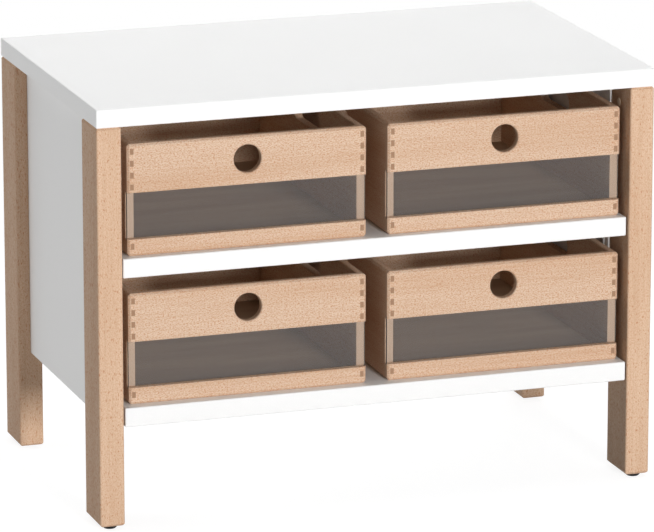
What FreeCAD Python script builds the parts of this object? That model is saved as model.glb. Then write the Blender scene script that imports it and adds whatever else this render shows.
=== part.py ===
"""Tray storage cabinet: a white cabinet on beech legs, with two shelves and four trays with tenoned corners.

Millimetres. X runs from left to right as seen from the front, Y from front to back and Z up. The origin
is on the floor, under the middle of the cabinet.
"""
import FreeCAD
import Part

import os

# Cabinet, overall
CABINET_WIDTH = 780.0
CABINET_DEPTH = 466.0
CABINET_HEIGHT = 572.0
FLOOR_CLEARANCE = 140.0  # floor to the underside of the bottom shelf
BAY_DIFFERENCE = 3.0  # height of the upper bay less that of the lower bay

# White boards
TOP_THICKNESS = 25.0
SHELF_THICKNESS = 26.0
SIDE_PANEL_THICKNESS = 19.0
SIDE_PANEL_STANDOUT = 2.0  # inner faces of the legs to the inner face of the panel
BACK_PANEL_THICKNESS = 8.0
BACK_PANEL_INSET = 2.0  # rear face of the rear legs to the rear face of the panel
BOARD_EDGE_BEVEL = 1.0
MIDDLE_SHELF_SETBACK = 5.0  # front faces of the legs to the front edge of the shelf
BOTTOM_SHELF_SETBACK = 1.0

# Legs
LEG_WIDTH = 34.0
LEG_DEPTH = 70.0
LEG_ROUND = 3.0  # upright edges
LEG_END_BEVEL = 3.0

# Glides under the legs
GLIDE_HEIGHT = 5.0
GLIDE_DIAMETER = 20.0
GLIDE_BEVEL = 2.0
GLIDE_END_OFFSET = 16.0  # front or rear face of the leg to the middle of the glide

# Loose tongues between the side panels and the legs, and between the bottom shelf and the side panels
TONGUE_THICKNESS = 6.0
TONGUE_REACH = 10.0  # into each of the two boards
TONGUE_END_MARGIN = 30.0  # ends of the side panel to the ends of the tongue
TONGUE_CLEARANCE = 0.1

# Connectors that hold the top panel on the legs
CAM_DIAMETER = 10.0
CAM_LENGTH = 13.0
CAM_DROP = 28.0  # top of the leg to the middle of the cam
CAM_GROOVE_OFFSET = 18.0  # bottom of the tongue's groove to the middle of the cam
CAM_CLEARANCE = 0.1
BOLT_DIAMETER = 6.0
BOLT_INSET = 8.0  # inner face of the leg to the axis of the bolt
BOLT_CLEARANCE = 0.1
BOLT_TOP_REACH = 12.0  # into the top panel

# Angle brackets under the middle shelf
BRACKET_WIDTH = 9.0
BRACKET_DROP = 31.0
BRACKET_LEDGE = 10.0
BRACKET_SHEET = 2.0
BRACKET_OFFSET = 18.0  # side panel's front or rear edge to the middle of the bracket

# Trays
TRAY_SETBACK = 16.0  # front faces of the legs to the tray fronts
TRAY_BACK_CLEARANCE = 4.0
TRAY_HEADROOM = 28.0  # top of an upper tray to the top panel
TRAY_GAP_LEFT = 10.0  # left side panel to the left trays
TRAY_GAP_MIDDLE = 30.0  # between the left and the right trays
TRAY_GAP_RIGHT = 6.0  # right trays to the right side panel
TRAY_BOARD = 11.0
TRAY_BEVEL = 3.0  # outer edges
TRAY_RIM_BEVEL = 1.0  # inner edges of the rim
TENON_WIDTH = 5.0
TENON_HEIGHT = 8.0  # as high as the gap between two tenons
TENON_INSET = 3.9  # outer face of a side board to its tenons
TENON_DROP = 5.9  # rim of the tray to the first tenon
RAIL_TENON_LIFT = 9.1  # underside of the tray to its lowest tenon
FRONT_BOARD_HEIGHT = 66.0
FRONT_RAIL_HEIGHT = 23.0
WINDOW_EDGE_BEVEL = 1.0
FINGER_HOLE_DIAMETER = 38.0
FINGER_HOLE_DROP = 31.5  # rim of the tray to the middle of the hole
FINGER_HOLE_BEVEL = 1.5
HAND_SLOT_LENGTH = 112.0
HAND_SLOT_HEIGHT = 28.0
HAND_SLOT_DROP = 19.0  # rim of the tray to the top of the slot
PANE_THICKNESS = 4.0
PANE_SETBACK = 5.0  # tray front to the front of the pane
PANE_GROOVE_DEPTH = 3.0
PANE_CLEARANCE = 0.1
PANE_END_INSET = 0.6  # tray's sides to the ends of the pane
TRAY_BOTTOM_THICKNESS = 4.0
TRAY_BOTTOM_LIFT = 4.0  # underside of the tray to the underside of its bottom
TRAY_BOTTOM_GROOVE = 4.0  # depth of the groove
TRAY_BOTTOM_CLEARANCE = 0.1

# Places worked out from the sizes above
LEFT = -CABINET_WIDTH / 2
RIGHT = CABINET_WIDTH / 2
FRONT = -CABINET_DEPTH / 2
BACK = CABINET_DEPTH / 2
TOP_UNDERSIDE = CABINET_HEIGHT - TOP_THICKNESS
BOTTOM_SHELF_TOP = FLOOR_CLEARANCE + SHELF_THICKNESS
LOWER_BAY_HEIGHT = (TOP_UNDERSIDE - BOTTOM_SHELF_TOP - SHELF_THICKNESS - BAY_DIFFERENCE) / 2
UPPER_BAY_HEIGHT = LOWER_BAY_HEIGHT + BAY_DIFFERENCE
MIDDLE_SHELF_TOP = TOP_UNDERSIDE - UPPER_BAY_HEIGHT
MIDDLE_SHELF_UNDERSIDE = MIDDLE_SHELF_TOP - SHELF_THICKNESS
PANEL_INNER = LEG_WIDTH + SIDE_PANEL_STANDOUT  # outer face of the leg to the inner face of the panel
PANEL_FRONT = FRONT + LEG_DEPTH
PANEL_BACK = BACK - LEG_DEPTH
BAY_LEFT = LEFT + PANEL_INNER
BAY_RIGHT = RIGHT - PANEL_INNER
BACK_PANEL_FRONT = BACK - BACK_PANEL_INSET - BACK_PANEL_THICKNESS
TRAY_WIDTH = (BAY_RIGHT - BAY_LEFT - TRAY_GAP_LEFT - TRAY_GAP_MIDDLE - TRAY_GAP_RIGHT) / 2
TRAY_DEPTH = BACK_PANEL_FRONT - TRAY_BACK_CLEARANCE - FRONT - TRAY_SETBACK
TRAY_HEIGHT = UPPER_BAY_HEIGHT - TRAY_HEADROOM
CUT_MARGIN = 1.0  # how far a cutting tool runs past the face that it opens
NEAR = 0.01  # how far an edge may lie outside the space in which it is looked for

X_AXIS = FreeCAD.Vector(1, 0, 0)
Y_AXIS = FreeCAD.Vector(0, 1, 0)
Z_AXIS = FreeCAD.Vector(0, 0, 1)


def box(x0, x1, y0, y1, z0, z1):
    """Block between two corners."""
    return Part.makeBox(x1 - x0, y1 - y0, z1 - z0, FreeCAD.Vector(x0, y0, z0))


def rod(diameter, x, y, z, axis, before, after):
    """Cylinder through a point, reaching a length before and after it along an axis."""
    start = FreeCAD.Vector(x, y, z) - axis * before
    return Part.makeCylinder(diameter / 2, before + after, start, axis)


def slab(outer, inward, near, far, y0, y1, z0, z1):
    """Block between two distances inwards from the outer face of the legs on one side."""
    xs = sorted((outer + inward * near, outer + inward * far))
    return box(xs[0], xs[1], y0, y1, z0, z1)


def edges_within(solid, x0, x1, y0, y1, z0, z1):
    """Edges of a solid that lie wholly in the space between two corners."""
    space = FreeCAD.BoundBox(x0 - NEAR, y0 - NEAR, z0 - NEAR, x1 + NEAR, y1 + NEAR, z1 + NEAR)
    return [edge for edge in solid.Edges if space.isInside(edge.BoundBox)]


def bevelled_board(x0, x1, y0, y1, z0, z1):
    """Faced board with finely bevelled edges."""
    board = box(x0, x1, y0, y1, z0, z1)
    return board.makeChamfer(BOARD_EDGE_BEVEL, board.Edges)


def side_of(is_left):
    """Outer face of the legs on one side, and the direction from it into the cabinet."""
    return (LEFT, 1) if is_left else (RIGHT, -1)


def end_of(is_front):
    """Outer face of the legs at one end, and the direction from it into the cabinet."""
    return (FRONT, 1) if is_front else (BACK, -1)


def side_tongue(is_left, is_front, gap):
    """Upright tongue between a side panel and a leg, or with a gap the groove that takes it."""
    outer, inward = side_of(is_left)
    middle = PANEL_INNER - SIDE_PANEL_THICKNESS / 2
    half = TONGUE_THICKNESS / 2 + gap
    joint = PANEL_FRONT if is_front else PANEL_BACK
    reach = TONGUE_REACH + gap
    low = FLOOR_CLEARANCE + TONGUE_END_MARGIN - gap
    high = TOP_UNDERSIDE - TONGUE_END_MARGIN + gap
    return slab(outer, inward, middle - half, middle + half, joint - reach, joint + reach, low, high)


def shelf_tongue(is_left, gap):
    """Level tongue between the bottom shelf and a side panel, or with a gap the groove that takes it."""
    outer, inward = side_of(is_left)
    middle = FLOOR_CLEARANCE + SHELF_THICKNESS / 2
    half = TONGUE_THICKNESS / 2 + gap
    reach = TONGUE_REACH + gap
    front = PANEL_FRONT + TONGUE_END_MARGIN - gap
    back = PANEL_BACK - TONGUE_END_MARGIN + gap
    z0 = middle - half
    z1 = middle + half
    return slab(outer, inward, PANEL_INNER - reach, PANEL_INNER + reach, front, back, z0, z1)


def connector(is_left, is_front):
    """Cam and bolt at the top of one leg, with the holes that they need."""
    outer, inward = side_of(is_left)
    end, endward = end_of(is_front)
    axis = X_AXIS * inward
    face_x = outer + inward * LEG_WIDTH
    bolt_x = face_x - inward * BOLT_INSET
    y = end + endward * (LEG_DEPTH - TONGUE_REACH - CAM_GROOVE_OFFSET)
    z = TOP_UNDERSIDE - CAM_DROP
    cam = rod(CAM_DIAMETER, face_x, y, z, axis, CAM_LENGTH, 0)
    cam_hole_diameter = CAM_DIAMETER + 2 * CAM_CLEARANCE
    cam_hole = rod(cam_hole_diameter, face_x, y, z, axis, CAM_LENGTH + CAM_CLEARANCE, CUT_MARGIN)
    bolt = rod(BOLT_DIAMETER, bolt_x, y, TOP_UNDERSIDE, Z_AXIS, CAM_DROP, BOLT_TOP_REACH)
    hole_radius = BOLT_DIAMETER / 2 + BOLT_CLEARANCE
    hole_reach = BOLT_TOP_REACH + BOLT_CLEARANCE
    bolt_hole = rod(2 * hole_radius, bolt_x, y, TOP_UNDERSIDE, Z_AXIS, CAM_DROP, hole_reach)
    xs = (bolt_x - hole_radius, bolt_x + hole_radius)
    slot = box(xs[0], xs[1], y - hole_radius, y + hole_radius, z, z + CAM_DIAMETER)
    return cam.cut(slot), bolt, cam_hole, bolt_hole


def glide(is_left, is_front):
    """Bevelled foot disc under one leg."""
    outer, inward = side_of(is_left)
    end, endward = end_of(is_front)
    x = outer + inward * LEG_WIDTH / 2
    y = end + endward * GLIDE_END_OFFSET
    radius = GLIDE_DIAMETER / 2
    disc = rod(GLIDE_DIAMETER, x, y, 0, Z_AXIS, 0, GLIDE_HEIGHT)
    lower_edge = edges_within(disc, x - radius, x + radius, y - radius, y + radius, 0, 0)
    return disc.makeChamfer(GLIDE_BEVEL, lower_edge)


def leg(is_left, is_front):
    """Leg with rounded upright edges and bevelled ends, before its holes and groove are cut."""
    outer, inward = side_of(is_left)
    end, endward = end_of(is_front)
    ys = sorted((end, end + endward * LEG_DEPTH))
    blank = slab(outer, inward, 0, LEG_WIDTH, ys[0], ys[1], GLIDE_HEIGHT, TOP_UNDERSIDE)
    ends = [edge for edge in blank.Edges if edge.BoundBox.ZLength < NEAR]
    uprights = [edge for edge in blank.Edges if edge.BoundBox.ZLength > NEAR]
    return blank.makeChamfer(LEG_END_BEVEL, ends).common(blank.makeFillet(LEG_ROUND, uprights))


def shelf_bracket(is_left, is_front):
    """Angle bracket on a side panel, under the middle shelf."""
    outer, inward = side_of(is_left)
    middle = PANEL_FRONT + BRACKET_OFFSET if is_front else PANEL_BACK - BRACKET_OFFSET
    y0 = middle - BRACKET_WIDTH / 2
    y1 = middle + BRACKET_WIDTH / 2
    top = MIDDLE_SHELF_UNDERSIDE
    plate = slab(outer, inward, PANEL_INNER, PANEL_INNER + BRACKET_SHEET, y0, y1, top - BRACKET_DROP, top)
    ledge = slab(outer, inward, PANEL_INNER, PANEL_INNER + BRACKET_LEDGE, y0, y1, top - BRACKET_SHEET, top)
    return plate.fuse(ledge).removeSplitter()


def cabinet_nodes():
    """Everything that stays put: boards, legs and the fittings between them."""
    nodes = {}
    side_tongues, shelf_tongues, grooves = [], [], []
    for is_left in (True, False):
        shelf_tongues.append(shelf_tongue(is_left, 0.0))
        grooves.append(shelf_tongue(is_left, TONGUE_CLEARANCE))
        for is_front in (True, False):
            side_tongues.append(side_tongue(is_left, is_front, 0.0))
            grooves.append(side_tongue(is_left, is_front, TONGUE_CLEARANCE))

    cams, bolts, bolt_holes, brackets, glides = [], [], [], [], []
    for is_left in (True, False):
        for is_front in (True, False):
            cam, bolt, cam_hole, bolt_hole = connector(is_left, is_front)
            name = ("front_" if is_front else "rear_") + ("left_leg" if is_left else "right_leg")
            nodes[name] = leg(is_left, is_front).cut([cam_hole, bolt_hole] + grooves)
            glides.append(glide(is_left, is_front))
            brackets.append(shelf_bracket(is_left, is_front))
            cams.append(cam)
            bolts.append(bolt)
            bolt_holes.append(bolt_hole)

    for name, is_left in (("left_side_panel", True), ("right_side_panel", False)):
        outer, inward = side_of(is_left)
        face = PANEL_INNER - SIDE_PANEL_THICKNESS
        ys = (PANEL_FRONT, PANEL_BACK)
        panel = slab(outer, inward, face, PANEL_INNER, ys[0], ys[1], FLOOR_CLEARANCE, TOP_UNDERSIDE)
        nodes[name] = panel.cut(grooves)

    top = bevelled_board(LEFT, RIGHT, FRONT, BACK, TOP_UNDERSIDE, CABINET_HEIGHT)
    nodes["top_panel"] = top.cut(bolt_holes)
    shelves = (
        ("middle_shelf", MIDDLE_SHELF_SETBACK, MIDDLE_SHELF_UNDERSIDE),
        ("bottom_shelf", BOTTOM_SHELF_SETBACK, FLOOR_CLEARANCE),
    )
    for name, setback, low in shelves:
        front = FRONT + setback
        shelf = bevelled_board(BAY_LEFT, BAY_RIGHT, front, BACK_PANEL_FRONT, low, low + SHELF_THICKNESS)
        nodes[name] = shelf.cut(grooves)
    nodes["back_panel"] = box(
        LEFT + LEG_WIDTH,
        RIGHT - LEG_WIDTH,
        BACK_PANEL_FRONT,
        BACK - BACK_PANEL_INSET,
        FLOOR_CLEARANCE,
        TOP_UNDERSIDE,
    )
    groups = {
        "side_panel_tongues": side_tongues,
        "bottom_shelf_tongues": shelf_tongues,
        "cam_housings": cams,
        "connecting_bolts": bolts,
        "shelf_brackets": brackets,
        "leg_glides": glides,
    }
    for name, solids in groups.items():
        nodes[name] = Part.makeCompound(solids)
    return nodes


def tray_ring():
    """The four walls of a tray in one ring, bevelled all round except down its two rear corners."""
    far_x = TRAY_WIDTH - TRAY_BOARD
    far_y = TRAY_DEPTH - TRAY_BOARD
    outer = box(0, TRAY_WIDTH, 0, TRAY_DEPTH, 0, TRAY_HEIGHT)
    rear_corners = []
    for x in (0, TRAY_WIDTH):
        rear_corners.extend(edges_within(outer, x, x, TRAY_DEPTH, TRAY_DEPTH, 0, TRAY_HEIGHT))
    bevelled = [edge for edge in outer.Edges if not any(edge.isSame(corner) for corner in rear_corners)]
    inner = box(TRAY_BOARD, far_x, TRAY_BOARD, far_y, -CUT_MARGIN, TRAY_HEIGHT + CUT_MARGIN)
    ring = outer.makeChamfer(TRAY_BEVEL, bevelled).cut(inner)
    rim = edges_within(ring, TRAY_BOARD, far_x, TRAY_BOARD, far_y, TRAY_HEIGHT, TRAY_HEIGHT)
    return ring.makeChamfer(TRAY_RIM_BEVEL, rim)


def tenon_row(low):
    """Heights of the tenons from the rim of the tray down to a lower end."""
    spans = []
    high = TRAY_HEIGHT - TENON_DROP
    while high - TENON_HEIGHT > low:
        spans.append((high - TENON_HEIGHT, high))
        high -= 2 * TENON_HEIGHT
    return spans


def end_blocks(inset, width, ys, z0, z1):
    """Two upright blocks through the front or the back, each at the same inset from a side of the tray."""
    left = box(inset, inset + width, ys[0], ys[1], z0, z1)
    right = box(TRAY_WIDTH - inset - width, TRAY_WIDTH - inset, ys[0], ys[1], z0, z1)
    return [left, right]


def corner_joints():
    """The tenons of both side boards, and the rest of the four corners, which the front and the back fill."""
    rail_tenon = (RAIL_TENON_LIFT, RAIL_TENON_LIFT + TENON_HEIGHT)
    front_row = tenon_row(TRAY_HEIGHT - FRONT_BOARD_HEIGHT + PANE_GROOVE_DEPTH)
    back_row = tenon_row(rail_tenon[1] + TENON_HEIGHT / 2)
    walls = (
        ((0, TRAY_BOARD), [*front_row, rail_tenon]),
        ((TRAY_DEPTH - TRAY_BOARD, TRAY_DEPTH), [*back_row, rail_tenon]),
    )
    tenons = []
    corners = []
    for ys, spans in walls:
        corners.extend(end_blocks(0, TRAY_BOARD, ys, 0, TRAY_HEIGHT))
        for z0, z1 in spans:
            tenons.extend(end_blocks(TENON_INSET, TENON_WIDTH, ys, z0, z1))
    return tenons, [corner.cut(tenons) for corner in corners]


def window_spaces():
    """The open window, as deep as the front, and the grooves that hold the pane."""
    pane_back = PANE_SETBACK + PANE_THICKNESS + PANE_CLEARANCE
    sill = FRONT_RAIL_HEIGHT
    head = TRAY_HEIGHT - FRONT_BOARD_HEIGHT
    window = box(-CUT_MARGIN, TRAY_WIDTH + CUT_MARGIN, -CUT_MARGIN, TRAY_BOARD, sill, head)
    grooves = box(
        -CUT_MARGIN,
        TRAY_WIDTH + CUT_MARGIN,
        PANE_SETBACK - PANE_CLEARANCE,
        pane_back,
        sill - PANE_GROOVE_DEPTH,
        head + PANE_GROOVE_DEPTH + PANE_CLEARANCE,
    )
    return window, grooves


def bottom_block(clearance):
    """The tray's bottom in its grooves, or with a clearance the space that the grooves leave for it."""
    reach = TRAY_BOARD - TRAY_BOTTOM_GROOVE - clearance
    return box(
        reach,
        TRAY_WIDTH - reach,
        reach,
        TRAY_DEPTH - reach,
        TRAY_BOTTOM_LIFT,
        TRAY_BOTTOM_LIFT + TRAY_BOTTOM_THICKNESS + clearance,
    )


def hand_slot_cutter():
    """Bar with round ends that opens the hand slot in both side boards."""
    radius = HAND_SLOT_HEIGHT / 2
    z = TRAY_HEIGHT - HAND_SLOT_DROP - radius
    middle = TRAY_DEPTH / 2
    half = HAND_SLOT_LENGTH / 2 - radius
    ends = [rod(HAND_SLOT_HEIGHT, 0, middle + place, z, X_AXIS, CUT_MARGIN, TRAY_WIDTH + CUT_MARGIN)
            for place in (-half, half)]
    bar = box(-CUT_MARGIN, TRAY_WIDTH + CUT_MARGIN, middle - half, middle + half, z - radius, z + radius)
    return bar.fuse(ends).removeSplitter()


def bevel_hole(board):
    """Bevels the rim of the finger hole on the outer face of the front board."""
    middle = TRAY_WIDTH / 2
    radius = FINGER_HOLE_DIAMETER / 2
    z = TRAY_HEIGHT - FINGER_HOLE_DROP
    rim = edges_within(board, middle - radius, middle + radius, 0, 0, z - radius, z + radius)
    return board.makeChamfer(FINGER_HOLE_BEVEL, rim)


def bevel_window_edge(board, z):
    """Bevels the front edge of a front board where it meets the window."""
    return board.makeChamfer(WINDOW_EDGE_BEVEL, edges_within(board, 0, TRAY_WIDTH, 0, 0, z, z))


def tray_pieces():
    """The seven pieces of one tray, with the tray's front left lower corner at the origin."""
    ring = tray_ring()
    tenons, wall_ends = corner_joints()
    window, grooves = window_spaces()
    bottom_space = bottom_block(TRAY_BOTTOM_CLEARANCE)
    slot = hand_slot_cutter()
    head = TRAY_HEIGHT - FRONT_BOARD_HEIGHT

    front_wall = box(0, TRAY_WIDTH, 0, TRAY_BOARD, 0, TRAY_HEIGHT).cut(tenons)
    back_wall = box(0, TRAY_WIDTH, TRAY_DEPTH - TRAY_BOARD, TRAY_DEPTH, 0, TRAY_HEIGHT).cut(tenons)

    board = ring.common(front_wall.common(box(0, TRAY_WIDTH, 0, TRAY_BOARD, head, TRAY_HEIGHT)))
    hole_z = TRAY_HEIGHT - FINGER_HOLE_DROP
    hole = rod(FINGER_HOLE_DIAMETER, TRAY_WIDTH / 2, 0, hole_z, Y_AXIS, CUT_MARGIN, TRAY_BOARD + CUT_MARGIN)
    board = bevel_hole(board.cut(hole))
    board = bevel_window_edge(board, head).cut(grooves)
    rail = ring.common(front_wall.common(box(0, TRAY_WIDTH, 0, TRAY_BOARD, 0, FRONT_RAIL_HEIGHT)))
    rail = bevel_window_edge(rail, FRONT_RAIL_HEIGHT).cut([grooves, bottom_space])

    sides = []
    for x0 in (0, TRAY_WIDTH - TRAY_BOARD):
        wall = box(x0, x0 + TRAY_BOARD, 0, TRAY_DEPTH, 0, TRAY_HEIGHT).cut(wall_ends)
        sides.append(ring.common(wall).cut([slot, window, grooves, bottom_space]))

    pane = box(
        PANE_END_INSET,
        TRAY_WIDTH - PANE_END_INSET,
        PANE_SETBACK,
        PANE_SETBACK + PANE_THICKNESS,
        FRONT_RAIL_HEIGHT - PANE_GROOVE_DEPTH,
        head + PANE_GROOVE_DEPTH,
    )
    return {
        "front_board": board,
        "front_rail": rail,
        "window_pane": pane,
        "left_side": sides[0],
        "right_side": sides[1],
        "back_board": ring.common(back_wall).cut(bottom_space),
        "bottom": bottom_block(0.0),
    }


def tray_nodes():
    """The four trays, each in its place on its shelf."""
    pieces = tray_pieces()
    left_x = BAY_LEFT + TRAY_GAP_LEFT
    right_x = left_x + TRAY_WIDTH + TRAY_GAP_MIDDLE
    y = FRONT + TRAY_SETBACK
    places = {
        "upper_left": FreeCAD.Vector(left_x, y, MIDDLE_SHELF_TOP),
        "upper_right": FreeCAD.Vector(right_x, y, MIDDLE_SHELF_TOP),
        "lower_left": FreeCAD.Vector(left_x, y, BOTTOM_SHELF_TOP),
        "lower_right": FreeCAD.Vector(right_x, y, BOTTOM_SHELF_TOP),
    }
    nodes = {}
    for place, corner in places.items():
        for name, piece in pieces.items():
            nodes[place + "_tray_" + name] = piece.translated(corner)
    return nodes


os.makedirs("parts", exist_ok=True)
for node, shape in {**cabinet_nodes(), **tray_nodes()}.items():
    shape.exportStep("parts/" + node + ".step")
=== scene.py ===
"""Dresses the tray storage cabinet: beech legs and trays, white faced boards, clear windows and fittings.

Metres, in the cabinet's own frame: X to the right, Y from front to back, Z up, origin on the floor.
"""
import math
from typing import NamedTuple

import bmesh
import bpy
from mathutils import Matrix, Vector


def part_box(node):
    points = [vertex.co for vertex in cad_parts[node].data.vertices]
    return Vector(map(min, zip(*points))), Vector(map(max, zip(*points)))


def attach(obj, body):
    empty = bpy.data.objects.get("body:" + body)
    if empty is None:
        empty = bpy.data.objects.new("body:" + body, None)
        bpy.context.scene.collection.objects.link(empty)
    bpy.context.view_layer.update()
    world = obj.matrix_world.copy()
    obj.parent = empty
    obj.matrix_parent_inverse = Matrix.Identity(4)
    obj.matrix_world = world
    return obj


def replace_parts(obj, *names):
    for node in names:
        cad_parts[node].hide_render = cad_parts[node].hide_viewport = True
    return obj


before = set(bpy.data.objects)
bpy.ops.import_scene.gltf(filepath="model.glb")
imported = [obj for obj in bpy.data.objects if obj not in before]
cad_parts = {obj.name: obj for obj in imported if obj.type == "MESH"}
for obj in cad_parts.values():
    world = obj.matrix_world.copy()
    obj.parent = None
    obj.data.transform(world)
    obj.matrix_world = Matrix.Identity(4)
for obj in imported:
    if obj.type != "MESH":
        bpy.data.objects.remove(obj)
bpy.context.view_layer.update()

bl_info = {
    "name": "Tray Storage Cabinet",
    "version": (1, 0, 0),
    "blender": (4, 5, 0),
    "location": "3D View > Sidebar > Cabinet",
    "description": "Finishes a cabinet on beech legs with four tenoned trays",
    "category": "Object",
}

CABINET = "cabinet"
TRAYS = ("upper_left_tray", "upper_right_tray", "lower_left_tray", "lower_right_tray")
LEGS = ("front_left_leg", "front_right_leg", "rear_left_leg", "rear_right_leg")
WHITE_BOARDS = (
    "top_panel", "middle_shelf", "bottom_shelf", "left_side_panel", "right_side_panel", "back_panel")
METAL_NODES = ("shelf_brackets", "connecting_bolts", "cam_housings")
TONGUE_NODES = ("side_panel_tongues", "bottom_shelf_tongues")

# Grain of a board runs along this axis
ALONG_X, ALONG_Y, ALONG_Z = Vector((1, 0, 0)), Vector((0, 1, 0)), Vector((0, 0, 1))
TRAY_BOARDS = {
    "front_board": ALONG_X,
    "front_rail": ALONG_X,
    "left_side": ALONG_Y,
    "right_side": ALONG_Y,
    "back_board": ALONG_X,
}


class Marks(NamedTuple):
    """Noise that makes one kind of mark in a surface."""
    cells: tuple  # cells per metre along each axis of the pattern
    none: float = 0.0  # noise at which there is no mark
    full: float = 1.0  # noise at which the mark is full
    strength: float = 1.0
    detail: float = 2.0
    roughness: float = 0.5


# Beech, with its grain along Z of the pattern
BROAD_STREAKS = Marks((34.0, 34.0, 2.6), none=0.35, full=0.7, strength=0.45, detail=3.0)
FINE_STREAKS = Marks((420.0, 420.0, 9.0), none=0.38, full=0.72, strength=0.4, detail=3.0, roughness=0.6)
DASHES = Marks((640.0, 640.0, 170.0), none=0.6, full=0.74, detail=1.0)
SPECKS = Marks((760.0, 760.0, 420.0), none=0.4, full=0.72, roughness=0.6)
PORES = Marks((2400.0, 2400.0, 30.0), none=0.5, full=0.75, strength=0.45, detail=1.0)
RINGS = Marks((260.0, 900.0, 10.0), none=0.5, full=0.8, strength=0.3)
FLECK_ROUGHNESS = 0.14  # added where there is a fleck
STREAK_GLOSS = 0.08  # taken off the roughness along the fine streaks
BEECH_DEPTH = 0.00005
BEECH_SPECULAR = 0.03  # low, so that the left faces of the legs don't turn milky
END_TURN = (0.75, 0.9)  # share of the normal along the grain, from a long face to end grain
SIDE_SHADE_TURN = (0.5, 1.0)  # share of the normal along X, from a plain face of a leg to one with painted shade

# Plywood, with its grain along X
PLY_FIGURE = Marks((3.0, 22.0, 22.0), none=0.35, full=0.65, detail=4.0, roughness=0.6)
PLY_PORES = Marks((60.0, 1500.0, 1500.0), none=0.5, full=0.8, strength=0.4)
PLY_PORE_ROUGHNESS = 0.1
PLY_DEPTH = 0.00004
PLY_SPECULAR = 0.1

# Facings, mouldings and plated metal
GLOSS_DRIFT = Marks((14.0, 14.0, 14.0), none=0.3, full=0.75, strength=0.03, detail=3.0)
HOLLOW_NONE, HOLLOW_FULL = 0.7, 0.4
HOLLOW_STRENGTH = 0.5
FINE_DEPTH = 0.00001
MOULDED_DEPTH = 0.00002

# Clear panes
PANE_INDEX = 1.55  # above that of acrylic, about 1.49, to give the reflections their strength
PANE_SMEARS = Marks((18.0, 18.0, 30.0), detail=3.0)
SMEAR_ROUGHNESS = 0.03
SAW_MARKS = Marks((300.0, 300.0, 2600.0))
SAW_MARK_PALENESS = 1.6
SAW_MARK_ROUGHNESS = 0.2
SAW_MARK_DEPTH = 0.00003
PANE_END_ROUGHNESS = 0.3

# Softening of the beech pieces
SHARP = math.radians(12)  # neighbouring faces that turn less than this are shaded as one
FLAT = math.radians(0.5)  # faces that turn less than this are joined into one
BEVEL_TURNS = (math.radians(30), math.radians(60))  # turn of the edges on both sides of a bevel
SAME_PLACE = 1e-5

# Screw heads and caps
RECESS_LENGTH, RECESS_WIDTH = 0.56, 0.13  # shares of a screw head's diameter
RECESS_DEPTH = 0.6  # share of a screw head's height
HEAD_ROUNDING, CAP_ROUNDING = 0.7, 0.6  # shares of their height
HEAD_SEGMENTS, CAP_SEGMENTS = 24, 32
HEAD_SHARP = math.radians(40)  # faces of heads and caps that turn less than this are shaded as one
HEAD_SEED = 7

# Shelf brackets, as made in the part
BRACKET_SHEET = 0.002
BRACKET_WIDTH = 0.009

# Stage
WHITE = (1, 1, 1, 1)
FLOOR_HALF = 60.0  # half of the floor's width
SEEN_FLOOR = 2.2  # brightness of the floor where it is seen, which makes it as white as the background
SEEN_WHITE = 0.88  # share of plain white in the floor near the cabinet, so that the shadow stays faint
FADE_START, FADE_END = 0.5, 1.6  # distance from the cabinet's middle over which the floor turns all white
SENSOR_WIDTH = 36.0  # millimetres
CLIP_END = 200.0
LAMP_AIM = Vector((0.0, 0.0, 0.3))

# Place and width of each lamp
LAMPS = {
    "key": (Vector((0.5, -5.9, 1.3)), 1.0),
    "top": (Vector((0.3, 0.6, 4.6)), 4.0),
    "left": (Vector((-5.2, 1.6, 2.4)), 2.5),
    "rear": (Vector((1.5, 4.8, 2.2)), 3.0),
}


def colour(name, description, default):
    """Property for a colour in linear light."""
    return bpy.props.FloatVectorProperty(
        name=name, description=description, default=default, subtype="COLOR", size=3, min=0.0, max=1.0)


def length(name, description, default):
    """Property for a length in metres."""
    return bpy.props.FloatProperty(
        name=name, description=description, default=default, subtype="DISTANCE", unit="LENGTH", precision=5)


def factor(name, description, default):
    """Property for a share between nothing and all."""
    return bpy.props.FloatProperty(
        name=name, description=description, default=default, subtype="FACTOR", min=0.0, max=1.0)


def angle(name, description, degrees):
    """Property for an angle, given in degrees."""
    return bpy.props.FloatProperty(
        name=name, description=description, default=math.radians(degrees), subtype="ANGLE")


def power(name, description, default):
    """Property for the power of a lamp in watts."""
    return bpy.props.FloatProperty(
        name=name, description=description, default=default, subtype="POWER", unit="POWER")


class BeechSettings(bpy.types.PropertyGroup):
    """Lacquered beech of the legs and the trays."""
    tray_pale: colour("Pale trays", "Colour between the streaks of the trays", (0.765, 0.592, 0.447))
    leg_pale: colour("Pale legs", "Colour between the streaks of the legs", (0.76, 0.55, 0.39))
    # Painted shade: how bright the legs' left and right faces are drawn
    leg_side_shade: factor("Leg sides", "Brightness of the left and right faces of the legs", 0.8)
    streak: colour("Streaks", "Colour of the darker growth streaks", (0.63, 0.42, 0.275))
    fleck: colour("Flecks", "Colour of the short flecks along the grain", (0.56, 0.27, 0.15))
    end_grain: colour("End grain", "Colour where the grain ends at a face", (0.7, 0.5, 0.36))
    tenon_end: colour("Tenon ends", "Colour of the glued ends of the tenons", (0.375, 0.225, 0.142))
    roughness: factor("Roughness", "Roughness of the lacquer", 0.46)
    tray_speckle: factor("Tray speckle", "Strength of the fine speckle on the trays", 0.9)
    leg_speckle: factor("Leg speckle", "Strength of the fine speckle on the legs", 0.6)
    tray_dashes: factor("Tray dashes", "Strength of the short dashes on the trays", 0.4)
    leg_dashes: factor("Leg dashes", "Strength of the short dashes on the legs", 0.9)
    tray_softening: length("Tray softening", "Rounding of the edges of the trays' bevels", 0.0007)
    leg_softening: length("Leg softening", "Rounding of the edges of the legs' bevels", 0.001)


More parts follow.
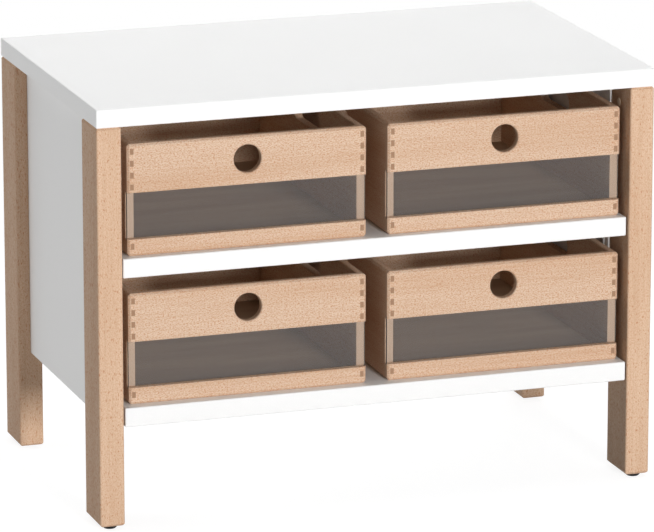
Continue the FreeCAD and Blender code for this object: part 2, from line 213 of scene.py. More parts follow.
class PlywoodSettings(bpy.types.PropertyGroup):
    """Plywood bottoms of the trays."""
    face: colour("Face", "Colour of the face veneer", (0.52, 0.375, 0.265))
    figure: colour("Figure", "Colour of the broad figure of the veneer", (0.46, 0.32, 0.22))
    roughness: factor("Roughness", "Roughness of the sanded veneer", 0.62)


class BoardSettings(bpy.types.PropertyGroup):
    """White faced boards of the cabinet."""
    white: colour("White", "Colour of the facing", (0.93, 0.93, 0.925))
    # Painted shade in the hollows of the facing's texture
    shade: colour("Shade", "Colour in the hollows of the facing's texture", (0.88, 0.88, 0.875))
    roughness: factor("Roughness", "Roughness of the facing", 0.5)
    grain: length("Texture", "Width of the facing's fine texture", 0.0006)


class WindowSettings(bpy.types.PropertyGroup):
    """Clear panes in the tray fronts."""
    tint: colour("Tint", "Colour of what is seen through the pane", (0.86, 0.87, 0.88))
    passed: colour("Light", "Share of the lamps' light that each face lets through", (0.86, 0.85, 0.83))
    edge: colour("Edges", "Colour of the polished ends", (0.045, 0.05, 0.055))
    edge_bevel: length("Edge bevel", "Bevel along the edges of the pane", 0.0002)
    roughness: factor("Roughness", "Roughness of the polished faces", 0.03)


class FittingSettings(bpy.types.PropertyGroup):
    """Glides, caps, screws and brackets."""
    cap_diameter: length("Cap", "Diameter of the caps over the cams", 0.011)
    cap_height: length("Cap height", "How far a cap stands out of the leg", 0.0004)
    screw_diameter: length("Screw head", "Diameter of the screw heads", 0.007)
    screw_height: length("Screw height", "How far a screw head stands out", 0.0012)
    screw_inset: length("Screw inset", "Ends of the back panel to its first and last screw", 0.05)
    back_screws: bpy.props.IntProperty(
        name="Back screws", description="Screws in each row of the back panel", default=5, min=2)
    bracket_screw_lift: length("Bracket screw", "Lower end of a bracket to the middle of its screw", 0.009)
    cap_colour: colour("Cap colour", "Colour of the plastic caps", (0.84, 0.68, 0.52))
    black: colour("Black plastic", "Colour of the glides", (0.006, 0.006, 0.0065))
    metal: colour("Metal", "Colour of the plated steel", (0.56, 0.56, 0.55))


class StageSettings(bpy.types.PropertyGroup):
    """Floor, light and camera."""
    azimuth: angle("Azimuth", "Camera's turn round the cabinet", -18.72)
    elevation: angle("Elevation", "Camera's height above level", 14.72)
    distance: length("Distance", "Camera to the point that it looks at", 7.296)
    aim: bpy.props.FloatVectorProperty(
        name="Aim", description="Point that the camera looks at", default=(0.0049, 0.0, 0.2723),
        subtype="TRANSLATION", unit="LENGTH")
    lens: bpy.props.FloatProperty(
        name="Lens", description="Focal length in millimetres on a 36 mm sensor", default=292.6)
    floor: colour("Floor", "Colour of the floor", (0.75, 0.75, 0.75))
    fill: factor("Fill", "Strength of the even light from all round", 0.08)
    key: power("Key", "Power of the large lamp in front", 257.0)
    top: power("Top", "Power of the wide lamp overhead", 84.0)
    left: power("Left", "Power of the soft lamp at the left", 82.0)
    rear: power("Rear", "Power of the soft lamp behind", 60.0)


class Graph:
    """Adds nodes to a node tree and links them as they are added."""

    def __init__(self, tree):
        self.tree = tree

    def add(self, kind, inputs=None, **settings):
        """One node, with its settings, and its inputs as values or as sockets to link from."""
        made = self.tree.nodes.new(kind)
        for name, value in settings.items():
            setattr(made, name, value)
        for key, value in (inputs or {}).items():
            self.put(made.inputs[key], value)
        return made

    def put(self, socket, value):
        """Gives an input its value, or links it."""
        if isinstance(value, bpy.types.NodeSocket):
            self.tree.links.new(value, socket)
        else:
            socket.default_value = value

    def math(self, operation, a, b=0.0, c=0.0):
        """Result of one calculation."""
        return self.add("ShaderNodeMath", {0: a, 1: b, 2: c}, operation=operation).outputs[0]

    def between(self, value, low, high):
        """How far a value has come from low to high, smoothly, from 0 to 1."""
        node = self.add("ShaderNodeMapRange", {"Value": value, "From Min": low, "From Max": high},
                        interpolation_type="SMOOTHSTEP")
        return node.outputs["Result"]

    def mix(self, share, a, b, blend="MIX"):
        """Colour between two colours. Inputs 6 and 7 and output 2 of the node are its colours."""
        node = self.add("ShaderNodeMix", {0: share, 6: opaque(a), 7: opaque(b)}, data_type="RGBA",
                        blend_type=blend)
        return node.outputs[2]

    def noise(self, vector, scale, detail=2.0, roughness=0.5):
        """Value of a noise texture."""
        node = self.add("ShaderNodeTexNoise", {
            "Vector": vector, "Scale": scale, "Detail": detail, "Roughness": roughness})
        return node.outputs["Fac"]

    def noise_for(self, vector, marks):
        """Value of the noise that makes a kind of mark."""
        stretched = self.add("ShaderNodeMapping", {"Vector": vector, "Scale": marks.cells})
        return self.noise(stretched.outputs["Vector"], 1.0, marks.detail, marks.roughness)

    def marked(self, noise, marks, strength=None):
        """Mask of a kind of mark, up to its own strength or one that is given."""
        share = self.between(noise, marks.none, marks.full)
        return self.math("MULTIPLY", share, marks.strength if strength is None else strength)

    def facing(self, normal, axis):
        """How straight a face looks along an axis, either way, from 0 to 1."""
        node = self.add("ShaderNodeVectorMath", {0: normal, 1: axis}, operation="DOT_PRODUCT")
        return self.math("ABSOLUTE", node.outputs["Value"])


def opaque(value):
    """Colour with its alpha, or a socket as it is."""
    if isinstance(value, bpy.types.NodeSocket):
        return value
    return (value[0], value[1], value[2], 1.0)


def shaded(base, share):
    """Colour made darker, or lighter by a share above 1."""
    return [share * part for part in base]


def group(name, inputs, outputs):
    """New shader node group with named sockets, and the graph to fill it."""
    tree = bpy.data.node_groups.new(name, "ShaderNodeTree")
    for label, kind in inputs:
        tree.interface.new_socket(label, in_out="INPUT", socket_type=kind)
    for label, kind in outputs:
        tree.interface.new_socket(label, in_out="OUTPUT", socket_type=kind)
    graph = Graph(tree)
    return graph, graph.add("NodeGroupInput").outputs, graph.add("NodeGroupOutput").inputs


def beech_figure(name):
    """Group: streaks, flecks and end grain of beech. The grain runs along Z of the given vector."""
    graph, given, out = group(
        name,
        (("Vector", "NodeSocketVector"), ("Pale", "NodeSocketColor"), ("Streak", "NodeSocketColor"),
         ("Fleck", "NodeSocketColor"), ("End Grain", "NodeSocketColor"), ("End", "NodeSocketFloat"),
         ("Speckle", "NodeSocketFloat"), ("Dashes", "NodeSocketFloat")),
        (("Color", "NodeSocketColor"), ("Roughness", "NodeSocketFloat"), ("Height", "NodeSocketFloat")))
    vector = given["Vector"]
    broad = graph.noise_for(vector, BROAD_STREAKS)
    fine = graph.noise_for(vector, FINE_STREAKS)
    streaks = graph.math("ADD", graph.marked(broad, BROAD_STREAKS), graph.marked(fine, FINE_STREAKS))
    wood = graph.mix(streaks, given["Pale"], given["Streak"])
    dashes = graph.marked(graph.noise_for(vector, DASHES), DASHES, given["Dashes"])
    specks = graph.marked(graph.noise_for(vector, SPECKS), SPECKS, given["Speckle"])
    flecks = graph.math("ADD", dashes, specks)
    wood = graph.mix(flecks, wood, given["Fleck"])
    pores = graph.marked(graph.noise_for(vector, PORES), PORES)
    rings = graph.marked(graph.noise_for(vector, RINGS), RINGS)
    ends = graph.mix(pores, given["End Grain"], given["Fleck"])
    ends = graph.mix(rings, ends, given["Streak"])
    graph.put(out["Color"], graph.mix(given["End"], wood, ends))
    dull = graph.math("MULTIPLY", flecks, FLECK_ROUGHNESS)
    graph.put(out["Roughness"], graph.math("SUBTRACT", dull, graph.math("MULTIPLY", fine, STREAK_GLOSS)))
    graph.put(out["Height"], graph.math("SUBTRACT", fine, flecks))
    return graph.tree


def fine_texture(name):
    """Group: the fine pebbled texture of a facing or a moulding, and slow changes in its gloss."""
    graph, given, out = group(
        name,
        (("Vector", "NodeSocketVector"), ("Scale", "NodeSocketFloat")),
        (("Height", "NodeSocketFloat"), ("Hollow", "NodeSocketFloat"), ("Roughness", "NodeSocketFloat")))
    pebble = graph.noise(given["Vector"], given["Scale"])
    drift = graph.noise_for(given["Vector"], GLOSS_DRIFT)
    graph.put(out["Height"], pebble)
    graph.put(out["Hollow"], graph.between(pebble, HOLLOW_NONE, HOLLOW_FULL))
    graph.put(out["Roughness"], graph.marked(drift, GLOSS_DRIFT))
    return graph.tree


def shared(name, make):
    """The one copy of a node group."""
    return bpy.data.node_groups.get(name) or make(name)


def new_material(name):
    """Empty material with its graph, its surface shader and its object coordinates."""
    material = bpy.data.materials.new(name)
    material.use_nodes = True
    material.node_tree.nodes.clear()
    graph = Graph(material.node_tree)
    shader = graph.add("ShaderNodeBsdfPrincipled")
    graph.add("ShaderNodeOutputMaterial", {"Surface": shader.outputs["BSDF"]})
    return material, graph, shader, graph.add("ShaderNodeTexCoord").outputs


def bump(graph, height, depth):
    """Normal of a surface whose texture is so many metres deep."""
    node = graph.add("ShaderNodeBump", {"Height": height, "Distance": depth, "Strength": 1.0})
    return node.outputs["Normal"]


def painted_side_shade(graph, normal, base, brightness):
    """Colour of a leg with painted shade on its left and right faces."""
    share = graph.between(graph.facing(normal, ALONG_X), *SIDE_SHADE_TURN)
    return graph.mix(share, base, [brightness] * 3, blend="MULTIPLY")


def beech_material(grain, tenon=False):
    """Lacquered beech whose grain runs along one axis, or the same for the ends of tenons."""
    letter = "XYZ"[max(range(3), key=lambda axis: grain[axis])]
    name = ("Beech tenon along " if tenon else "Beech along ") + letter
    if name in bpy.data.materials:
        return bpy.data.materials[name]
    settings = bpy.context.scene.cabinet_beech
    material, graph, shader, place = new_material(name)
    parts = graph.add("ShaderNodeSeparateXYZ", {"Vector": place["Object"]}).outputs
    order = {"X": (1, 2, 0), "Y": (2, 0, 1), "Z": (0, 1, 2)}[letter]
    turned = {n: parts[axis] for n, axis in enumerate(order)}
    along = graph.add("ShaderNodeCombineXYZ", turned).outputs["Vector"]
    end = graph.between(graph.facing(place["Normal"], grain), *END_TURN)
    upright = grain == ALONG_Z
    pale = settings.leg_pale if upright else settings.tray_pale
    speckle = settings.leg_speckle if upright else settings.tray_speckle
    dashes = settings.leg_dashes if upright else settings.tray_dashes
    end_grain = settings.tenon_end if tenon else settings.end_grain
    figure = graph.add("ShaderNodeGroup", {
        "Vector": along, "Pale": opaque(pale), "Streak": opaque(settings.streak),
        "Fleck": opaque(settings.fleck), "End Grain": opaque(end_grain), "End": end,
        "Speckle": speckle, "Dashes": dashes}, node_tree=shared("Beech figure", beech_figure))
    base = figure.outputs["Color"]
    # Painted shade on the left and right faces of the legs
    if upright:
        base = painted_side_shade(graph, place["Normal"], base, settings.leg_side_shade)
    graph.put(shader.inputs["Base Color"], base)
    dull = graph.math("ADD", figure.outputs["Roughness"], settings.roughness)
    graph.put(shader.inputs["Roughness"], dull)
    graph.put(shader.inputs["Normal"], bump(graph, figure.outputs["Height"], BEECH_DEPTH))
    shader.inputs["Specular IOR Level"].default_value = BEECH_SPECULAR
    return material


def plywood_material():
    """Sanded plywood, with the broad flowing figure of a peeled veneer and fine pores along X."""
    settings = bpy.context.scene.cabinet_plywood
    material, graph, shader, place = new_material("Plywood")
    broad = graph.noise_for(place["Object"], PLY_FIGURE)
    pores = graph.noise_for(place["Object"], PLY_PORES)
    figure = graph.math("ADD", graph.marked(broad, PLY_FIGURE), graph.marked(pores, PLY_PORES))
    dull = graph.math("MULTIPLY_ADD", pores, PLY_PORE_ROUGHNESS, settings.roughness)
    graph.put(shader.inputs["Base Color"], graph.mix(figure, settings.face, settings.figure))
    graph.put(shader.inputs["Roughness"], dull)
    graph.put(shader.inputs["Normal"], bump(graph, pores, PLY_DEPTH))
    shader.inputs["Specular IOR Level"].default_value = PLY_SPECULAR
    return material


def textured_material(name, base, hollow, roughness, grain, depth, metallic=0.0, specular=0.5):
    """Material with a fine pebbled texture, for facings, mouldings and plated metal."""
    if name in bpy.data.materials:
        return bpy.data.materials[name]
    material, graph, shader, place = new_material(name)
    texture = graph.add("ShaderNodeGroup", {"Vector": place["Object"], "Scale": 1.0 / grain},
                        node_tree=shared("Fine texture", fine_texture))
    # A darker hollow colour is painted shade in the texture's hollows; the black plastic's hollow colour is
    # lighter
    share = graph.math("MULTIPLY", texture.outputs["Hollow"], HOLLOW_STRENGTH)
    graph.put(shader.inputs["Base Color"], graph.mix(share, base, hollow))
    graph.put(shader.inputs["Roughness"], graph.math("ADD", texture.outputs["Roughness"], roughness))
    graph.put(shader.inputs["Normal"], bump(graph, texture.outputs["Height"], depth))
    shader.inputs["Metallic"].default_value = metallic
    shader.inputs["Specular IOR Level"].default_value = specular
    return material


def white_material():
    """White faced board."""
    settings = bpy.context.scene.cabinet_board
    return textured_material(
        "White facing", settings.white, settings.shade, settings.roughness, settings.grain, FINE_DEPTH)


def window_material():
    """Clear polished sheet. Light from the lamps goes straight through it."""
    settings = bpy.context.scene.cabinet_window
    material, graph, shader, place = new_material("Clear sheet")
    smears = graph.noise_for(place["Object"], PANE_SMEARS)
    dull = graph.math("MULTIPLY_ADD", smears, SMEAR_ROUGHNESS, settings.roughness)
    graph.put(shader.inputs["Roughness"], dull)
    shader.inputs["Base Color"].default_value = opaque(settings.tint)
    shader.inputs["Transmission Weight"].default_value = 1.0
    shader.inputs["IOR"].default_value = PANE_INDEX
    path = graph.add("ShaderNodeLightPath").outputs
    lamps = graph.math("MAXIMUM", path["Is Shadow Ray"], path["Is Diffuse Ray"])
    through = graph.add("ShaderNodeBsdfTransparent", {"Color": opaque(settings.passed)}).outputs["BSDF"]
    surface = graph.add("ShaderNodeMixShader", {
        0: lamps, 1: shader.outputs["BSDF"], 2: through}).outputs["Shader"]
    output = next(item for item in graph.tree.nodes if item.type == "OUTPUT_MATERIAL")
    graph.put(output.inputs["Surface"], surface)
    return material


def pane_end_material():
    """Polished end of a clear sheet: dark, because it leads light away, with faint saw marks."""
    settings = bpy.context.scene.cabinet_window
    material, graph, shader, place = new_material("Pane end")
    marks = graph.noise_for(place["Object"], SAW_MARKS)
    pale = shaded(settings.edge, SAW_MARK_PALENESS)
    dull = graph.math("MULTIPLY_ADD", marks, SAW_MARK_ROUGHNESS, PANE_END_ROUGHNESS)
    graph.put(shader.inputs["Base Color"], graph.mix(marks, settings.edge, pale))
    graph.put(shader.inputs["Roughness"], dull)
    graph.put(shader.inputs["Normal"], bump(graph, marks, SAW_MARK_DEPTH))
    return material


def dress(objects, material):
    """Gives objects their one material."""
    for piece in objects:
        piece.data.materials.clear()
        piece.data.materials.append(material)


def add_piece(name, mesh, body):
    """Puts a finished mesh in the scene as a piece that rides on a body."""
    piece = bpy.data.objects.new(name, mesh)
    bpy.context.scene.collection.objects.link(piece)
    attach(piece, body)
    return piece


def softened_mesh(node, name, softening):
    """Copy of a node's mesh in whole faces, with the edges of its bevels rounded off."""
    work = bmesh.new()
    work.from_mesh(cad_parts[node].data)
    bmesh.ops.remove_doubles(work, verts=work.verts, dist=SAME_PLACE)
    bmesh.ops.dissolve_limit(work, angle_limit=FLAT, verts=work.verts, edges=work.edges)
    edges = []
    for edge in work.edges:
        if len(edge.link_faces) == 2 and BEVEL_TURNS[0] < edge.calc_face_angle() < BEVEL_TURNS[1]:
            edges.append(edge)
    bmesh.ops.bevel(
        work, geom=edges, offset=softening, segments=2, profile=0.5, affect="EDGES", clamp_overlap=True)
    mesh = bpy.data.meshes.new(name)
    work.to_mesh(mesh)
    work.free()
    mesh.polygons.foreach_set("use_smooth", [True] * len(mesh.polygons))
    mesh.set_sharp_from_angle(angle=SHARP)
    return mesh


def beech_piece(node, body, grain, softening):
    """Softened beech piece in place of a node. Where it runs along Y, its end faces are tenon ends."""
    name = node + "_beech"
    mesh = softened_mesh(node, name, softening)
    mesh.materials.append(beech_material(grain))
    if grain == ALONG_Y:
        mesh.materials.append(beech_material(grain, tenon=True))
        low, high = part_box(node)
        for face in mesh.polygons:
            face.material_index = int(min(face.center.y - low.y, high.y - face.center.y) < SAME_PLACE)
    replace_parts(add_piece(name, mesh, body), node)


class CABINET_OT_legs(bpy.types.Operator):
    """Makes the four beech legs"""
    bl_idname = "cabinet.legs"
    bl_label = "Legs"

    def execute(self, context):
        for node in LEGS:
            beech_piece(node, CABINET, ALONG_Z, context.scene.cabinet_beech.leg_softening)
        return {"FINISHED"}


class CABINET_OT_trays(bpy.types.Operator):
    """Makes the tenoned beech boards of the four trays and finishes their bottoms"""
    bl_idname = "cabinet.trays"
    bl_label = "Trays"

    def execute(self, context):
        for tray in TRAYS:
            for board, grain in TRAY_BOARDS.items():
                beech_piece(tray + "_" + board, tray, grain, context.scene.cabinet_beech.tray_softening)
        dress([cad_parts[tray + "_bottom"] for tray in TRAYS], plywood_material())
        return {"FINISHED"}


def pane_mesh(name, low, high, bevel):
    """Flat pane with bevelled edges. Faces that look along X have the second material."""
    work = bmesh.new()
    bmesh.ops.create_cube(work, size=1.0)
    bmesh.ops.scale(work, vec=high - low, verts=work.verts)
    bmesh.ops.translate(work, vec=(low + high) / 2, verts=work.verts)
    bmesh.ops.bevel(work, geom=work.edges[:], offset=bevel, segments=1, profile=0.5, affect="EDGES")
    work.normal_update()
    for face in work.faces:
        face.material_index = int(abs(face.normal.x) > 0.5)
    mesh = bpy.data.meshes.new(name)
    work.to_mesh(mesh)
    work.free()
    return mesh


class CABINET_OT_windows(bpy.types.Operator):
    """Makes the clear panes in the tray fronts"""
    bl_idname = "cabinet.windows"
    bl_label = "Windows"

    def execute(self, context):
        clear, end = window_material(), pane_end_material()
        for tray in TRAYS:
            node = tray + "_window_pane"
            low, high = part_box(node)
            mesh = pane_mesh(node + "_clear", low, high, context.scene.cabinet_window.edge_bevel)
            mesh.materials.append(clear)
            mesh.materials.append(end)
            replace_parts(add_piece(node + "_clear", mesh, tray), node)
        return {"FINISHED"}


class CABINET_OT_white_boards(bpy.types.Operator):
    """Finishes the white boards of the cabinet"""
    bl_idname = "cabinet.white_boards"
    bl_label = "White boards"

    def execute(self, context):
        dress([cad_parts[node] for node in WHITE_BOARDS], white_material())
        return {"FINISHED"}


def plated_metal():
    """Plated steel of screws, brackets and bolts."""
    metal = bpy.context.scene.cabinet_fittings.metal
    return textured_material(
        "Plated steel", metal, shaded(metal, share=0.7), roughness=0.34, grain=0.0009, depth=FINE_DEPTH,
        metallic=1.0)


def black_plastic():
    """Moulded black plastic of the glides."""
    black = bpy.context.scene.cabinet_fittings.black
    return textured_material(
        "Black plastic", black, shaded(black, share=2.0), roughness=0.5, grain=0.0005, depth=MOULDED_DEPTH,
        specular=0.15)


def cap_plastic():
    """Beige plastic of the caps."""
    beige = bpy.context.scene.cabinet_fittings.cap_colour
    return textured_material(
        "Cap plastic", beige, shaded(beige, share=0.85), roughness=0.5, grain=0.0005, depth=FINE_DEPTH,
        specular=0.2)


class CABINET_OT_fittings(bpy.types.Operator):
    """Finishes the glides, the shelf brackets and the joints' inner fittings"""
    bl_idname = "cabinet.fittings"
    bl_label = "Fittings"

    def execute(self, context):
        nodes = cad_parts
        dress([nodes["leg_glides"]], black_plastic())
        dress([nodes[name] for name in METAL_NODES], plated_metal())
        dress([nodes[name] for name in TONGUE_NODES], beech_material(ALONG_Z))
        return {"FINISHED"}


def heads_tree(name):
    """Geometry Nodes tree that sets a head on every point, facing along the point's own direction."""
    tree = bpy.data.node_groups.new(name, "GeometryNodeTree")
    for label, kind in (("Points", "NodeSocketGeometry"), ("Head", "NodeSocketObject"),
                        ("Finish", "NodeSocketMaterial"), ("Turn", "NodeSocketFloat")):
        tree.interface.new_socket(label, in_out="INPUT", socket_type=kind)
    tree.interface.new_socket("Heads", in_out="OUTPUT", socket_type="NodeSocketGeometry")
    graph = Graph(tree)
    given = graph.add("NodeGroupInput").outputs
    facing = graph.add("GeometryNodeInputNamedAttribute", {"Name": "facing"}, data_type="FLOAT_VECTOR")
    aim = graph.add("FunctionNodeAlignRotationToVector", {"Vector": facing.outputs["Attribute"]}, axis="Z")
    # Input 3 and output 1 of the random value are its greatest number and the number drawn
    spin = graph.add("FunctionNodeRandomValue", {"Seed": HEAD_SEED}, data_type="FLOAT")
    graph.put(spin.inputs[3], given["Turn"])
    turn = graph.add("FunctionNodeAxisAngleToRotation", {"Axis": (0, 0, 1), "Angle": spin.outputs[1]})
    rotation = graph.add("FunctionNodeRotateRotation", {
        "Rotation": aim.outputs["Rotation"], "Rotate By": turn.outputs["Rotation"]}, rotation_space="LOCAL")
    head = graph.add("GeometryNodeObjectInfo", {"Object": given["Head"]})
    placed = graph.add("GeometryNodeInstanceOnPoints", {
        "Points": given["Points"], "Instance": head.outputs["Geometry"],
        "Rotation": rotation.outputs["Rotation"]})
    real = graph.add("GeometryNodeRealizeInstances", {"Geometry": placed.outputs["Instances"]})
    finished = graph.add("GeometryNodeSetMaterial", {
        "Geometry": real.outputs["Geometry"], "Material": given["Finish"]})
    graph.add("NodeGroupOutput", {"Heads": finished.outputs["Geometry"]})
    return tree


def turned_mesh(name, profile, segments):
    """Closed round mesh about Z from a profile of (radius, height) that starts and ends on the axis."""
    mesh = bpy.data.meshes.new(name)
    work = bmesh.new()
    rings = []
    for radius, height in profile:
        if radius == 0.0:
            rings.append([work.verts.new((0.0, 0.0, height))])
            continue
        turns = [2 * math.pi * n / segments for n in range(segments)]
        rings.append([work.verts.new((radius * math.cos(t), radius * math.sin(t), height)) for t in turns])
    for lower, upper in zip(rings, rings[1:]):
        for n in range(segments):
            corners = [lower[n % len(lower)], lower[(n + 1) % len(lower)],
                       upper[(n + 1) % len(upper)], upper[n % len(upper)]]
            work.faces.new(list(dict.fromkeys(corners)))
    bmesh.ops.recalc_face_normals(work, faces=work.faces)
    work.to_mesh(mesh)
    work.free()
    return mesh


def rounded_profile(radius, height, edge, steps=4):
    """Profile of a disc with a rounded upper edge."""
    points = [(0.0, 0.0), (radius, 0.0)]
    for n in range(steps + 1):
        turn = math.pi / 2 * n / steps
        points.append((radius - edge + edge * math.cos(turn), height - edge + edge * math.sin(turn)))
    points.append((0.0, height))
    return points


def evaluated_mesh(item, name):
    """Plain mesh of an object with its modifiers applied."""
    depsgraph = bpy.context.evaluated_depsgraph_get()
    mesh = bpy.data.meshes.new_from_object(item.evaluated_get(depsgraph))
    mesh.name = name
    return mesh


def recessed_head(name, diameter, height):
    """Screw head with a cross recess."""
    profile = rounded_profile(diameter / 2, height, height * HEAD_ROUNDING)
    head = bpy.data.objects.new(name, turned_mesh(name, profile, HEAD_SEGMENTS))
    cutter_mesh = bpy.data.meshes.new(name + "_recess")
    work = bmesh.new()
    for share_x, share_y in ((RECESS_LENGTH, RECESS_WIDTH), (RECESS_WIDTH, RECESS_LENGTH)):
        bar = bmesh.ops.create_cube(work, size=1.0)["verts"]
        size = (share_x * diameter, share_y * diameter, 2 * RECESS_DEPTH * height)
        bmesh.ops.scale(work, vec=size, verts=bar)
        bmesh.ops.translate(work, vec=(0.0, 0.0, height), verts=bar)
    work.to_mesh(cutter_mesh)
    work.free()
    cutter = bpy.data.objects.new(name + "_recess", cutter_mesh)
    for item in (head, cutter):
        bpy.context.scene.collection.objects.link(item)
    cut = head.modifiers.new("Recess", "BOOLEAN")
    cut.object = cutter
    cut.operation = "DIFFERENCE"
    cut.solver = "EXACT"
    cut.use_self = True
    head.data = evaluated_mesh(head, name)
    head.modifiers.clear()
    bpy.data.objects.remove(cutter)
    return head


def set_heads(name, head, finish, places, turn):
    """Sets a head on each place, as one piece on the cabinet.

    A place is a point and a direction. Each head is turned by a random angle of up to turn.
    """
    points = bpy.data.meshes.new(name)
    points.from_pydata([point for point, _ in places], [], [])
    facing = points.attributes.new("facing", "FLOAT_VECTOR", "POINT")
    facing.data.foreach_set("vector", [part for _, direction in places for part in direction])
    holder = bpy.data.objects.new(name + "_points", points)
    bpy.context.scene.collection.objects.link(holder)
    tree = shared("Heads on points", heads_tree)
    modifier = holder.modifiers.new("Heads", "NODES")
    modifier.node_group = tree
    inputs = {item.name: item.identifier for item in tree.interface.items_tree if item.in_out == "INPUT"}
    modifier[inputs["Head"]] = head
    modifier[inputs["Finish"]] = finish
    modifier[inputs["Turn"]] = turn
    mesh = evaluated_mesh(holder, name)
    holder.modifiers.clear()
    bpy.data.objects.remove(holder)
    bpy.data.objects.remove(head)
    mesh.polygons.foreach_set("use_smooth", [True] * len(mesh.polygons))
    mesh.set_sharp_from_angle(angle=HEAD_SHARP)
    return add_piece(name, mesh, CABINET)


class CABINET_OT_cover_caps(bpy.types.Operator):
    """Sets a plastic cap over the cam in each leg"""
    bl_idname = "cabinet.cover_caps"
    bl_label = "Cover caps"

    def execute(self, context):
        settings = context.scene.cabinet_fittings
        low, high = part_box("cam_housings")
        radius = (high.z - low.z) / 2
        z = (low.z + high.z) / 2
        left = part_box("front_left_leg")[1].x
        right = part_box("front_right_leg")[0].x
        places = []
        for y in (low.y + radius, high.y - radius):
            places.append(((left, y, z), ALONG_X))
            places.append(((right, y, z), -ALONG_X))
        height = settings.cap_height
        profile = rounded_profile(settings.cap_diameter / 2, height, height * CAP_ROUNDING)
        head = bpy.data.objects.new("cap", turned_mesh("cap", profile, CAP_SEGMENTS))
        context.scene.collection.objects.link(head)
        set_heads("cover_caps", head, cap_plastic(), places, turn=0.0)
        return {"FINISHED"}


class CABINET_OT_screws(bpy.types.Operator):
    """Sets the screws of the back panel and of the shelf brackets"""
    bl_idname = "cabinet.screws"
    bl_label = "Screws"

    def execute(self, context):
        settings = context.scene.cabinet_fittings
        low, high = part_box("back_panel")
        first = low.x + settings.screw_inset
        step = (high.x - low.x - 2 * settings.screw_inset) / (settings.back_screws - 1)
        places = []
        for shelf in ("middle_shelf", "bottom_shelf"):
            shelf_low, shelf_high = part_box(shelf)
            z = (shelf_low.z + shelf_high.z) / 2
            for n in range(settings.back_screws):
                places.append(((first + n * step, high.y, z), ALONG_Y))
        self.set_screws("back_panel_screws", places, settings)

        low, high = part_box("shelf_brackets")
        panel_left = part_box("left_side_panel")[1].x
        half = BRACKET_WIDTH / 2
        z = low.z + settings.bracket_screw_lift
        places = []
        for y in (low.y + half, high.y - half):
            places.append(((panel_left + BRACKET_SHEET, y, z), ALONG_X))
            places.append(((-panel_left - BRACKET_SHEET, y, z), -ALONG_X))
        self.set_screws("bracket_screws", places, settings)
        return {"FINISHED"}

    def set_screws(self, name, places, settings):
        """One group of screws."""
        head = recessed_head("screw_head", settings.screw_diameter, settings.screw_height)
        set_heads(name, head, plated_metal(), places, turn=math.pi)


def add_lamp(name, place, size, energy):
    """Square soft lamp that points at the cabinet."""
    lamp = bpy.data.lights.new(name, "AREA")
    lamp.energy = energy
    lamp.size = size
    item = bpy.data.objects.new(name, lamp)
    item.location = place
    item.rotation_euler = (LAMP_AIM - place).to_track_quat("-Z", "Y").to_euler()
    bpy.context.scene.collection.objects.link(item)


def straight_seen(graph):
    """1 for rays that show the background itself, by sight, reflection or through a pane."""
    path = graph.add("ShaderNodeLightPath").outputs
    seen = graph.math("MAXIMUM", path["Is Camera Ray"], path["Is Glossy Ray"])
    return graph.math("MAXIMUM", seen, path["Is Transmission Ray"])


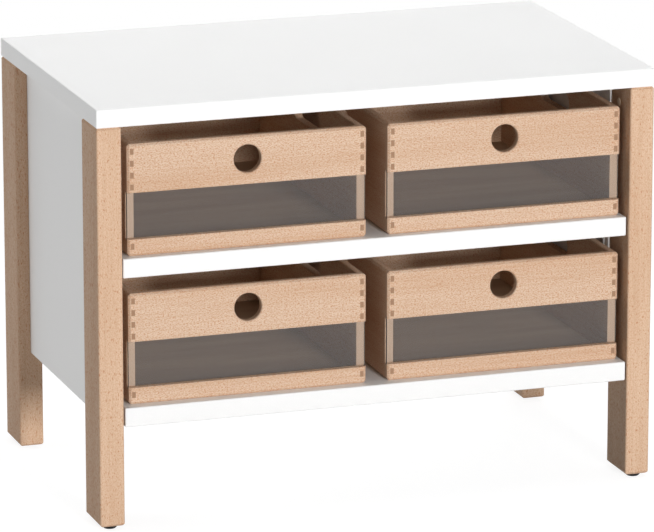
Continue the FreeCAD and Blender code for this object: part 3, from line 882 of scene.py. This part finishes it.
class CABINET_OT_stage(bpy.types.Operator):
    """Makes the floor, the light and the camera"""
    bl_idname = "cabinet.stage"
    bl_label = "Stage"

    def execute(self, context):
        settings = context.scene.cabinet_stage
        context.scene.view_settings.view_transform = "Standard"
        self.make_floor(settings)
        self.make_world(context.scene, settings)
        for name, (place, size) in LAMPS.items():
            add_lamp(name + "_lamp", place, size, getattr(settings, name))
        self.make_camera(context.scene, settings)
        return {"FINISHED"}

    def make_floor(self, settings):
        """Wide pale floor that fades into the background and keeps the cabinet's shadow."""
        mesh = bpy.data.meshes.new("floor")
        work = bmesh.new()
        bmesh.ops.create_grid(work, x_segments=1, y_segments=1, size=FLOOR_HALF)
        work.to_mesh(mesh)
        work.free()
        floor = bpy.data.objects.new("floor", mesh)
        bpy.context.scene.collection.objects.link(floor)
        material = bpy.data.materials.new("Floor")
        material.use_nodes = True
        material.node_tree.nodes.clear()
        graph = Graph(material.node_tree)
        seen = straight_seen(graph)
        tone = graph.mix(seen, settings.floor, [SEEN_FLOOR] * 3)
        matt = graph.add("ShaderNodeBsdfDiffuse", {"Color": tone}).outputs["BSDF"]
        white = graph.add("ShaderNodeEmission", {"Color": WHITE, "Strength": 1.0}).outputs["Emission"]
        place = graph.add("ShaderNodeTexCoord").outputs["Object"]
        reach = graph.add("ShaderNodeVectorMath", {0: place}, operation="LENGTH").outputs["Value"]
        fade = graph.between(reach, FADE_START, FADE_END)
        away = graph.math("MULTIPLY_ADD", fade, 1.0 - SEEN_WHITE, SEEN_WHITE)
        share = graph.math("MULTIPLY", seen, away)
        surface = graph.add("ShaderNodeMixShader", {0: share, 1: matt, 2: white}).outputs["Shader"]
        graph.add("ShaderNodeOutputMaterial", {"Surface": surface})
        dress([floor], material)

    def make_world(self, scene, settings):
        """Even fill light, in front of a white background."""
        world = bpy.data.worlds.new("Studio")
        world.use_nodes = True
        world.node_tree.nodes.clear()
        graph = Graph(world.node_tree)
        extra = graph.math("MULTIPLY", straight_seen(graph), 1.0 - settings.fill)
        strength = graph.math("ADD", extra, settings.fill)
        light = graph.add("ShaderNodeBackground", {"Color": WHITE, "Strength": strength})
        graph.add("ShaderNodeOutputWorld", {"Surface": light.outputs["Background"]})
        scene.world = world

    def make_camera(self, scene, settings):
        """Camera at the photograph's angle."""
        data = bpy.data.cameras.new("camera")
        data.sensor_width = SENSOR_WIDTH
        data.lens = settings.lens
        data.clip_end = CLIP_END
        camera = bpy.data.objects.new("camera", data)
        level = math.cos(settings.elevation)
        back = Vector((math.sin(settings.azimuth) * level, -math.cos(settings.azimuth) * level,
                       math.sin(settings.elevation)))
        camera.location = Vector(settings.aim) + back * settings.distance
        camera.rotation_euler = (-back).to_track_quat("-Z", "Y").to_euler()
        scene.collection.objects.link(camera)
        scene.camera = camera


class CABINET_PT_dressing(bpy.types.Panel):
    """Lists the cabinet's pieces and their settings"""
    bl_idname = "CABINET_PT_dressing"
    bl_label = "Tray storage cabinet"
    bl_space_type = "VIEW_3D"
    bl_region_type = "UI"
    bl_category = "Cabinet"

    def draw(self, context):
        for operator in OPERATORS:
            self.layout.operator(operator.bl_idname)
        for name, kind in SETTINGS.items():
            box = self.layout.box()
            box.label(text=kind.__doc__)
            for prop in kind.__annotations__:
                box.prop(getattr(context.scene, name), prop)


SETTINGS = {
    "cabinet_beech": BeechSettings,
    "cabinet_board": BoardSettings,
    "cabinet_plywood": PlywoodSettings,
    "cabinet_window": WindowSettings,
    "cabinet_fittings": FittingSettings,
    "cabinet_stage": StageSettings,
}
OPERATORS = (
    CABINET_OT_white_boards,
    CABINET_OT_legs,
    CABINET_OT_trays,
    CABINET_OT_windows,
    CABINET_OT_fittings,
    CABINET_OT_cover_caps,
    CABINET_OT_screws,
    CABINET_OT_stage,
)


def register():
    """Registers the settings, the operators and the panel."""
    for name, kind in SETTINGS.items():
        bpy.utils.register_class(kind)
        setattr(bpy.types.Scene, name, bpy.props.PointerProperty(type=kind))
    for kind in (*OPERATORS, CABINET_PT_dressing):
        bpy.utils.register_class(kind)


def unregister():
    """Takes back what register made."""
    for kind in (CABINET_PT_dressing, *reversed(OPERATORS)):
        bpy.utils.unregister_class(kind)
    for name, kind in SETTINGS.items():
        delattr(bpy.types.Scene, name)
        bpy.utils.unregister_class(kind)


def main():
    """Makes every piece and the stage."""
    register()
    bpy.ops.cabinet.white_boards()
    bpy.ops.cabinet.legs()
    bpy.ops.cabinet.trays()
    bpy.ops.cabinet.windows()
    bpy.ops.cabinet.fittings()
    bpy.ops.cabinet.cover_caps()
    bpy.ops.cabinet.screws()
    bpy.ops.cabinet.stage()


if __name__ == "__main__":
    main()
